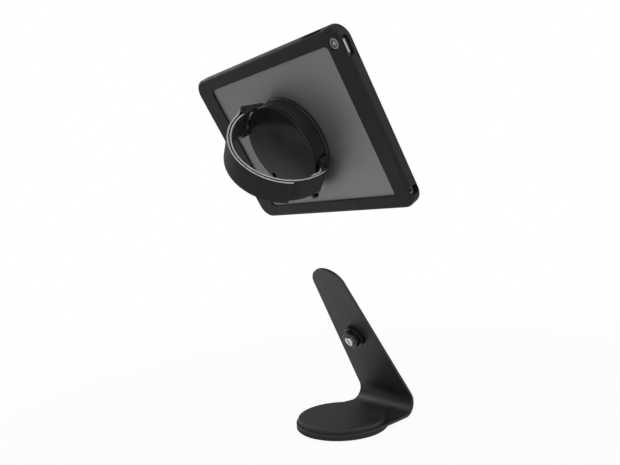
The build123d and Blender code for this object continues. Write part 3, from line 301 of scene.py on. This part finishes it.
def metal(name, tone, gloss):
    """Plain metal with a slight grain in its shine."""
    finish = Finish(name)
    grain = finish.noise(2400, 3, 0.6)
    bright = tuple(min(1, share * 1.12) for share in tone)
    return finish.done(
        Base_Color=finish.mix(grain.band(0.35, 0.65), tone, bright),
        Metallic=1.0,
        Roughness=grain.band(0.3, 0.7, gloss, gloss + 0.1),
        Normal=finish.bump(grain, 0.00002, 0.3),
    )


def turned(name, tone, gloss, centre, axis, pitch):
    """Metal faced on a lathe: fine rings round an axis."""
    finish = Finish(name)
    rings = (finish.away_from(centre, axis) * (2 * pi / pitch)).wave()
    grain = finish.noise(2600, 3)
    bright = tuple(min(1, share * 1.1) for share in tone)
    return finish.done(
        Base_Color=finish.mix(grain.band(0.35, 0.65), tone, bright),
        Metallic=1.0,
        Roughness=grain.band(0.3, 0.7, gloss, gloss + 0.1),
        Normal=finish.bump(rings, 0.000008, 0.5),
    )


def dark_glass():
    """Black glass under a hard, clear coat."""
    finish = Finish("dark_glass")
    smears = finish.noise(22, 4, 0.65)
    return finish.done(
        Base_Color=finish.mix(smears.band(0.4, 0.7), (0.004, 0.004, 0.0045), (0.007, 0.007, 0.008)),
        Roughness=smears.band(0.35, 0.7, 0.04, 0.1),
        Coat_Weight=0.6,
        Coat_Roughness=0.03,
    )


def camera_glass():
    """Lens cover: dark glass round a painted pale reflection at its centre."""
    finish = Finish("camera_glass")
    reach = finish.away_from(on_tablet(*REAR_CAMERA), arm_rear)
    # The pale centre is a painted reflection, with a fine grain through it.
    centre = reach.band(0.0013, 0.0021, 1.0, 0.0)
    glint = finish.noise(900, 2).band(0.35, 0.65, 0.85, 1.0)
    tone = finish.mix(centre * glint, (0.004, 0.005, 0.007), (0.26, 0.275, 0.29))
    return finish.done(
        Base_Color=tone,
        Roughness=reach.band(0.001, 0.003, 0.28, 0.06),
        Coat_Weight=1.0,
        Coat_Roughness=0.02,
    )


RIB_PITCH = 0.0011
YARN_PITCH = 0.0014
TWIST_PITCH = 0.0009


def webbing():
    """Strap face: tight plain weave, ribs across the strap, from its own flat coordinates."""
    finish = Finish("webbing")
    along, across, _ = finish.parts(finish.spread())
    rib = (along * (2 * pi / RIB_PITCH)).wave()
    yarn = (across * (2 * pi / YARN_PITCH)).wave()
    weave = (rib * yarn).band(-0.9, 0.9)
    fuzz = finish.noise(2600, 3, source=finish.spread())
    wear = finish.noise(70, 4, 0.6, source=finish.spread())
    # The weave's hollows are painted darker than its crossings: painted shade in the weave.
    tone = finish.mix(weave, (0.0045, 0.0045, 0.0048), (0.008, 0.008, 0.0084))
    tone = finish.mix(wear.band(0.55, 0.8, 0.0, 0.5), tone, (0.013, 0.013, 0.0136))
    return finish.done(
        Base_Color=tone,
        Roughness=fuzz.band(0.3, 0.7, 0.68, 0.82),
        Specular_IOR_Level=0.2,
        Sheen_Weight=0.07,
        Sheen_Roughness=0.4,
        Normal=finish.bump(weave + fuzz * 0.35, 0.00016, 0.55),
    )


def hook_pile():
    """Hook-and-loop pile, packed between the strap's layers."""
    finish = Finish("hook_pile")
    pile = finish.cells(1500)
    # The pile is painted darker in its pits and lighter on its tops: painted shade in the pile.
    return finish.done(
        Base_Color=finish.mix(pile.band(0.1, 0.6), (0.006, 0.006, 0.0065), (0.014, 0.014, 0.0145)),
        Roughness=0.85,
        Specular_IOR_Level=0.2,
        Normal=finish.bump(pile, 0.0003, 0.7),
    )


def strap_core():
    """Cut edge of the strap: pale foam between its dark faces."""
    finish = Finish("strap_core")
    cells = finish.cells(1800)
    clouds = finish.noise(160, 3)
    tone = finish.mix(clouds.band(0.35, 0.7), (0.36, 0.36, 0.37), (0.45, 0.45, 0.46))
    # The foam is painted darker in its pits: painted shade in its pores.
    tone = finish.mix(cells.band(0.0, 0.35, 0.35, 0.0), tone, (0.2, 0.2, 0.205))
    return finish.done(
        Base_Color=tone,
        Roughness=0.8,
        Specular_IOR_Level=0.3,
        Normal=finish.bump(cells, 0.00012, 0.5),
    )


def thread():
    """Bonded thread, twisted."""
    finish = Finish("thread")
    along, across, _ = finish.parts(finish.spread())
    twist = ((along + across * 0.7) * (2 * pi / TWIST_PITCH)).wave()
    # The twist's grooves are painted darker than its crests: painted shade in the twist.
    return finish.done(
        Base_Color=finish.mix(twist.band(-1, 1), (0.012, 0.012, 0.013), (0.03, 0.03, 0.031)),
        Roughness=0.55,
        Normal=finish.bump(twist, 0.00008, 0.6),
    )


def sheet_cells():
    """Pouch cells: dull foil with soft creases."""
    finish = Finish("cell_foil")
    creases = finish.noise(120, 5, 0.6)
    # The foil is painted darker in the hollows of its creases: painted shade.
    return finish.done(
        Base_Color=finish.mix(creases.band(0.35, 0.65), (0.03, 0.032, 0.036), (0.06, 0.063, 0.068)),
        Roughness=creases.band(0.3, 0.7, 0.3, 0.45),
        Metallic=0.3,
        Normal=finish.bump(creases, 0.0002, 0.5),
    )


def circuit_board():
    """Dark green solder mask over copper tracks."""
    finish = Finish("circuit_board")
    wide, tall, deep = finish.parts(finish.place())
    tracks = (wide * 5200).wave() * ((tall + deep) * 2100).wave()
    pads = finish.cells(420).band(0.12, 0.16, 1.0, 0.0)
    tone = finish.mix(tracks.band(0.1, 0.3), (0.006, 0.026, 0.014), (0.01, 0.045, 0.022))
    tone = finish.mix(pads, tone, (0.42, 0.32, 0.12))
    return finish.done(
        Base_Color=tone,
        Metallic=pads,
        Roughness=0.4,
        Normal=finish.bump(tracks.band(0.1, 0.3) + pads, 0.00006, 0.5),
    )


def display_layers():
    """Back of the display module: dark film with a faint mottling."""
    finish = Finish("display_film")
    mottle = finish.noise(300, 3)
    return finish.done(
        Base_Color=finish.mix(mottle.band(0.4, 0.6), (0.012, 0.012, 0.014), (0.02, 0.02, 0.022)),
        Roughness=mottle.band(0.3, 0.7, 0.22, 0.32),
    )


def polymer_washer():
    """Pale low-friction polymer."""
    finish = Finish("glide_polymer")
    clouds = finish.noise(220, 3)
    return finish.done(
        Base_Color=finish.mix(clouds.band(0.35, 0.7), (0.62, 0.62, 0.6), (0.7, 0.7, 0.68)),
        Roughness=clouds.band(0.3, 0.7, 0.42, 0.52),
    )


def dress(material, *names):
    """Gives carried-over pieces their finish."""
    for name in names:
        piece = nodes[name]
        if not piece.material_slots:
            piece.data.materials.append(material)
        for slot in piece.material_slots:
            slot.material = material


def dress_all():
    dress(powder_coat(), "stand_plate", "base_weight")
    dress(rubber(), "base_pad", "adhesive_disc")
    dress(
        moulded("hub_plastic", (0.010, 0.010, 0.0105), (0.0135, 0.0135, 0.014), 0.3, 0.00003),
        "grip_base", "grip_ring",
    )
    dress(gloss_black(), "grip_cover")
    dress(
        moulded("bracket_plastic", (0.012, 0.012, 0.0125), (0.017, 0.017, 0.0175), 0.38, 0.00004),
        "high_bracket", "low_bracket", "speakers",
    )
    dress(
        moulded("lock_enamel", (0.007, 0.007, 0.0075), (0.0095, 0.0095, 0.01), 0.24, 0.000015),
        "lock_housing",
    )
    dress(soft_touch(), "case_bumper", "case_frame")
    dress(anodised(), "tablet_shell", "volume_down", "volume_up")
    dress(dark_glass(), "front_glass", "front_camera")
    dress(display_layers(), "display_panel")
    dress(camera_glass(), "camera_lens")
    dress(sheet_cells(), "battery_cells")
    dress(circuit_board(), "logic_board")
    dress(metal("tinned_steel", (0.5, 0.5, 0.49), 0.3), "board_shields", "retainer_plate")
    dress(metal("zinc_steel", (0.42, 0.42, 0.43), 0.32), "retainer_screws", "lock_pin")
    dress(
        metal("black_steel", (0.035, 0.035, 0.037), 0.36),
        "base_screws", "lock_screws", "bracket_screws", "high_bar_pin", "low_bar_pin",
    )
    dress(metal("bright_aluminium", (0.4, 0.4, 0.405), 0.34), "power_button")
    socket = on_tablet(*HEADPHONE_SOCKET)
    camera = on_tablet(*REAR_CAMERA)
    dress(
        turned("jack_steel", (0.2, 0.2, 0.2), 0.3, socket, right, 0.0004),
        "audio_jack", "charge_port",
    )
    dress(
        turned("camera_steel", (0.25, 0.25, 0.253), 0.34, camera, arm_rear, 0.0003),
        "camera_ring",
    )
    dress(
        turned("key_nickel", (0.66, 0.66, 0.66), 0.26, lock_root, arm_rear, 0.0005),
        "lock_cylinder",
    )
    dress(polymer_washer(), "glide_washer")
    dress(hook_pile(), "strap_fastener")


# Strap: cut flat, then bent round both bars; its sizes are in millimetres and degrees
STRAP_WIDTH = 34.6
THICK = 2.0
RETURN_LAYER = 2.3             # from the arch's middle to the sewn return's
TAIL_LAYER = 3.2               # from the arch's middle to the outer layer's
WRAP = 3.1                     # bar's axis to the strap's middle
HIGH_CENTRE = Vector((-3.6, 30.0))
LOW_CENTRE = Vector((-3.6, 16.5))
HIGH_ARCH = 47.7
LOW_ARCH = 61.2
HIGH_BAR_DROP = 2.6            # high bar below its arch's centre
HIGH_BAR = Vector((HIGH_CENTRE.x - HIGH_ARCH - WRAP, HIGH_CENTRE.y - HIGH_BAR_DROP))
LOW_BAR = Vector((LOW_CENTRE.x + LOW_ARCH - WRAP, LOW_CENTRE.y))
RETURN_START = 17              # angles round the arches' centres
RETURN_END = 8
TAIL_JOIN = 170
TAIL_END = 38
LENGTH_STEP = 1.5              # mesh along the strap
WIDTH_STEPS = 10
RIM_BEVEL = 0.14
EASE_STEPS = 12


def polar(centre, radius, angle):
    return centre + Vector((cos(radians(angle)), sin(radians(angle)))) * radius


class Route:
    """The strap's middle line in its own plane, run by run, in millimetres."""

    def __init__(self):
        self.points = []

    def arc(self, centre, radius, start, turn):
        steps = max(6, round(abs(radians(turn)) * radius))
        for step in range(steps + 1):
            self.add(polar(centre, radius, start + turn * step / steps))

    def ease(self, start, heading, end, arrival):
        """A smooth join between two runs, leaving along heading and ending along arrival."""
        span = (end - start).length
        for step in range(1, EASE_STEPS):
            t = step / EASE_STEPS
            point = start * (2 * t**3 - 3 * t**2 + 1) + end * (3 * t**2 - 2 * t**3)
            point += heading.normalized() * span * (t**3 - 2 * t**2 + t)
            point += arrival.normalized() * span * (t**3 - t**2)
            self.add(point)

    def add(self, point):
        if not self.points or (point - self.points[-1]).length > 0.02:
            self.points.append(point.copy())

    def measure(self):
        self.reach = [0.0]
        for before, after in zip(self.points, self.points[1:]):
            self.reach.append(self.reach[-1] + (after - before).length)
        self.length = self.reach[-1]

    def heading(self, index):
        before = self.points[max(index - 1, 0)]
        after = self.points[min(index + 1, len(self.points) - 1)]
        return (after - before).normalized()

    def at(self, distance):
        """Point and side direction at a distance along the strap."""
        distance = min(max(distance, 0.0), self.length - 1e-6)
        low, high = 0, len(self.reach) - 1
        while high - low > 1:
            middle = (low + high) // 2
            if self.reach[middle] <= distance:
                low = middle
            else:
                high = middle
        share = (distance - self.reach[low]) / (self.reach[high] - self.reach[low])
        point = self.points[low].lerp(self.points[high], share)
        along = self.heading(low).lerp(self.heading(high), share).normalized()
        return point, Vector((-along.y, along.x))


def strap_route():
    """From the sewn return, round the low bar, over the hand, round the high bar and back."""
    route = Route()
    route.arc(LOW_CENTRE, LOW_ARCH - RETURN_LAYER, RETURN_START, RETURN_END - RETURN_START)
    before, start = route.points[-2:]
    route.ease(start, start - before, LOW_BAR + Vector((-WRAP, 0)), Vector((0, -1)))
    route.arc(LOW_BAR, WRAP, 180, 180)
    route.arc(LOW_CENTRE, LOW_ARCH, 0, 90)
    route.arc(HIGH_CENTRE, HIGH_ARCH, 90, 90)
    route.arc(HIGH_BAR, WRAP, 0, -180)
    tail_turn = radians(180 - TAIL_JOIN)
    onward = Vector((sin(tail_turn), cos(tail_turn)))
    join = polar(HIGH_CENTRE, HIGH_ARCH + TAIL_LAYER, TAIL_JOIN)
    route.ease(route.points[-1], Vector((0, 1)), join, onward)
    route.arc(HIGH_CENTRE, HIGH_ARCH + TAIL_LAYER, TAIL_JOIN, 90 - TAIL_JOIN)
    route.arc(LOW_CENTRE, LOW_ARCH + TAIL_LAYER, 90, TAIL_END - 90)
    route.measure()
    return route


def on_strap(route, along, across, proud):
    """Where a point of the flat strap goes: along it, across it, and out of its face."""
    point, side = route.at(along)
    point = point + side * proud
    return tablet_origin + (
        strap_line * point.x + arm_rear * point.y + strap_across * across
    ) * MM


def bend(mesh, route, flat):
    """Bends a flat shape, x along and y across in millimetres, onto the strap's route."""
    for vert in mesh.verts:
        x, y, z = vert.co
        for loop in vert.link_loops:
            loop[flat].uv = (x * MM, y * MM)
    for vert in mesh.verts:
        vert.co = on_strap(route, *vert.co)


def finish_piece(mesh, name, body, *materials, smooth=True):
    bmesh.ops.remove_doubles(mesh, verts=mesh.verts, dist=1e-7)
    bmesh.ops.recalc_face_normals(mesh, faces=mesh.faces)
    for face in mesh.faces:
        face.smooth = smooth
    data = bpy.data.meshes.new(name)
    mesh.to_mesh(data)
    mesh.free()
    for material in materials:
        data.materials.append(material)
    piece = bpy.data.objects.new(name, data)
    bpy.context.scene.collection.objects.link(piece)
    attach(piece, body)
    return piece


def make_strap():
    route = strap_route()
    mesh = bmesh.new()
    flat = mesh.loops.layers.uv.new("flat")
    steps = round(route.length / LENGTH_STEP)
    bmesh.ops.create_grid(mesh, x_segments=steps, y_segments=WIDTH_STEPS, size=0.5)
    bmesh.ops.scale(mesh, verts=mesh.verts, vec=(route.length, STRAP_WIDTH, 1))
    bmesh.ops.solidify(mesh, geom=mesh.faces[:], thickness=THICK)
    bottom = min(vert.co.z for vert in mesh.verts)
    bmesh.ops.translate(
        mesh, verts=mesh.verts, vec=(route.length / 2, 0, -bottom - THICK / 2)
    )
    rims = [
        edge
        for edge in mesh.edges
        if edge.is_manifold and edge.calc_face_angle(0) > 1
    ]
    bmesh.ops.bevel(
        mesh, geom=rims, offset=RIM_BEVEL, segments=2, profile=0.5, affect="EDGES", material=-1
    )
    mesh.normal_update()
    for face in mesh.faces:
        face.material_index = 1 if abs(face.normal.z) < 0.3 else 0
    bend(mesh, route, flat)
    strap = finish_piece(mesh, "strap_band", "grip", webbing(), strap_core())
    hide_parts("strap")
    return route


STITCH = (2.3, 0.55, 0.35)     # along the seam, across it and proud
STITCH_PITCH = 2.9
SEAM_ROWS = (4.5, 13.5)        # seams across the strap, from the low bar's wrap
SEAM_EDGES = (-13.0, 13.0)     # seams along it
ACROSS_COUNT = 9
ALONG_COUNT = 3
ALONG_START = 6.1


def make_stitches(route):
    """Tone-on-tone thread through the sewn return and the arch over it."""
    mesh = bmesh.new()
    flat = mesh.loops.layers.uv.new("flat")
    back_at_bar = 0
    for index, point in enumerate(route.points):
        if (point - LOW_BAR).length < WRAP + 0.2:
            back_at_bar = route.reach[index]
    long, slim, proud = STITCH
    stitches = []
    for row in SEAM_ROWS:
        for number in range(ACROSS_COUNT):
            across = (number - (ACROSS_COUNT - 1) / 2) * STITCH_PITCH
            stitches.append(((slim, long, proud), (back_at_bar + row, across)))
    for across in SEAM_EDGES:
        for number in range(ALONG_COUNT):
            along = back_at_bar + ALONG_START + number * STITCH_PITCH
            stitches.append(((long, slim, proud), (along, across)))
    for size, (along, across) in stitches:
        made = bmesh.ops.create_icosphere(mesh, subdivisions=1, radius=0.5)["verts"]
        bmesh.ops.scale(mesh, verts=made, vec=size)
        bmesh.ops.translate(mesh, verts=made, vec=(along, across, -THICK / 2))
    bend(mesh, route, flat)
    seams = finish_piece(mesh, "strap_stitches", "grip", thread())


# Floor, sky and lamps, in metres
FLOOR_RADIUS = 6
FLOOR_DROP = 0.0004            # under the pad
PAINTED_BAND_BEARING = radians(23.45)  # direction of the painted dark band that gloss mirrors
PAINTED_BAND_OFFSET = 0.106
PAINTED_BAND_REACH = 0.065             # half its width
HORIZON_LIGHT = 0.12
HIGH_LIGHT = 0.5
HIGH_RISE = 0.75               # height on the unit sky where its full light begins


def lay_floor():
    """Plain pale floor; in gloss it shows as a lit sheet with painted shade round the kit and one
    painted dark band.
    """
    finish = Finish("studio_floor")
    spread = finish.away_from((0, 0, 0), (0, 0, 1))
    far = spread.band(0.25, 1.1, 0.92, 1.0)
    # Painted shade in what gloss mirrors: the sheet is darkest under the kit, brightest from 0.28 m
    # out and dimmer again past 0.55 m.
    painted_gloss_shade = spread.band(0.0, 0.28, 0.6, 0.95) * spread.band(0.55, 0.8, 1.0, 0.78)
    wide, deep, _ = finish.parts(finish.place())
    # Painted reflection: a dark band across the sheet, seen only in gloss, as painted shade.
    over = deep * cos(PAINTED_BAND_BEARING) - wide * sin(PAINTED_BAND_BEARING)
    along = wide * cos(PAINTED_BAND_BEARING) + deep * sin(PAINTED_BAND_BEARING)
    reach = along.band(0.3, 0.5) * along.band(0.95, 1.2, 1.0, 0.0)
    painted_dark_band = 1 - (over - PAINTED_BAND_OFFSET).size().band(0.0, PAINTED_BAND_REACH, 1.0, 0.0) * reach
    seen = finish.node("LightPath", output="Is Camera Ray")
    mirrored = finish.node("LightPath", output="Is Glossy Ray")
    paper = finish.noise(600, 2)
    matt = finish.node(
        "BsdfDiffuse", None, {"Color": finish.mix(paper, (0.78, 0.78, 0.78), (0.8, 0.8, 0.8))}
    )
    tone = finish.mix(mirrored, (1, 1, 1), finish.mix(painted_dark_band * painted_gloss_shade, (0, 0, 0), (1, 1, 1)))
    white = finish.node("Emission", None, {"Color": tone, "Strength": 1.0})
    both = finish.node("MixShader", None, {0: (seen * far).larger(mirrored), 1: matt, 2: white})
    finish.node("OutputMaterial", None, {"Surface": both})
    mesh = bmesh.new()
    bmesh.ops.create_circle(mesh, cap_ends=True, segments=96, radius=FLOOR_RADIUS)
    bmesh.ops.translate(mesh, verts=mesh.verts, vec=(0, 0, -FLOOR_DROP))
    data = bpy.data.meshes.new("floor")
    mesh.to_mesh(data)
    mesh.free()
    data.materials.append(finish.material)
    floor = bpy.data.objects.new("floor", data)
    bpy.context.scene.collection.objects.link(floor)


def light_sky():
    """White to the eye; for light and gloss a dome that brightens upwards."""
    world = bpy.data.worlds.new("sky")
    world.use_nodes = True
    tree = world.node_tree
    tree.nodes.clear()

    def node(kind, **inputs):
        made = tree.nodes.new("ShaderNode" + kind)
        for key, value in inputs.items():
            made.inputs[key].default_value = value
        return made

    def join(source, output, target, socket):
        tree.links.new(source.outputs[output], target.inputs[socket])

    path = node("LightPath")
    seen = node("Math")
    seen.operation = "MAXIMUM"
    join(path, "Is Camera Ray", seen, 0)
    join(path, "Is Transmission Ray", seen, 1)
    place = node("TexCoord")
    split = node("SeparateXYZ")
    join(place, "Generated", split, 0)
    climb = node("MapRange")
    climb.interpolation_type = "SMOOTHSTEP"
    for socket, value in enumerate((0.0, HIGH_RISE, HORIZON_LIGHT, HIGH_LIGHT), start=1):
        climb.inputs[socket].default_value = value
    join(split, "Z", climb, 0)
    dome = node("Background", Color=(0.94, 0.97, 1.0, 1))
    join(climb, 0, dome, "Strength")
    white = node("Background", Color=(1, 1, 1, 1), Strength=1.0)
    both = node("MixShader")
    out = node("OutputWorld")
    join(seen, 0, both, 0)
    join(dome, 0, both, 1)
    join(white, 0, both, 2)
    join(both, 0, out, "Surface")
    bpy.context.scene.world = world


def lamp(name, place, wide, tall, power):
    data = bpy.data.lights.new(name, "AREA")
    data.shape = "RECTANGLE"
    data.size = wide
    data.size_y = tall
    data.energy = power
    made = bpy.data.objects.new(name, data)
    made.location = place
    made.rotation_euler = (Vector(KIT_MIDDLE) - Vector(place)).to_track_quat("-Z", "Y").to_euler()
    bpy.context.scene.collection.objects.link(made)


KIT_MIDDLE = (0, 0.05, 0.2)
LAMPS = {                      # place, width, height and power in watts
    "key": ((-0.9, 0.1, 1.15), 1.0, 1.0, 7),
    "fill": ((-0.5, 1.4, 0.5), 1.2, 0.9, 6),
    "side": ((-1.5, -1.15, 0.75), 1.8, 1.3, 10),
    "rim": ((1.1, 0.3, 0.9), 0.6, 1.0, 6),
}


def light_object():
    for name, values in LAMPS.items():
        lamp(name, *values)


place_camera()
dress_all()
strap_line_run = make_strap()
make_stitches(strap_line_run)
lay_floor()
light_sky()
light_object()
bpy.context.scene.view_settings.view_transform = "Standard"
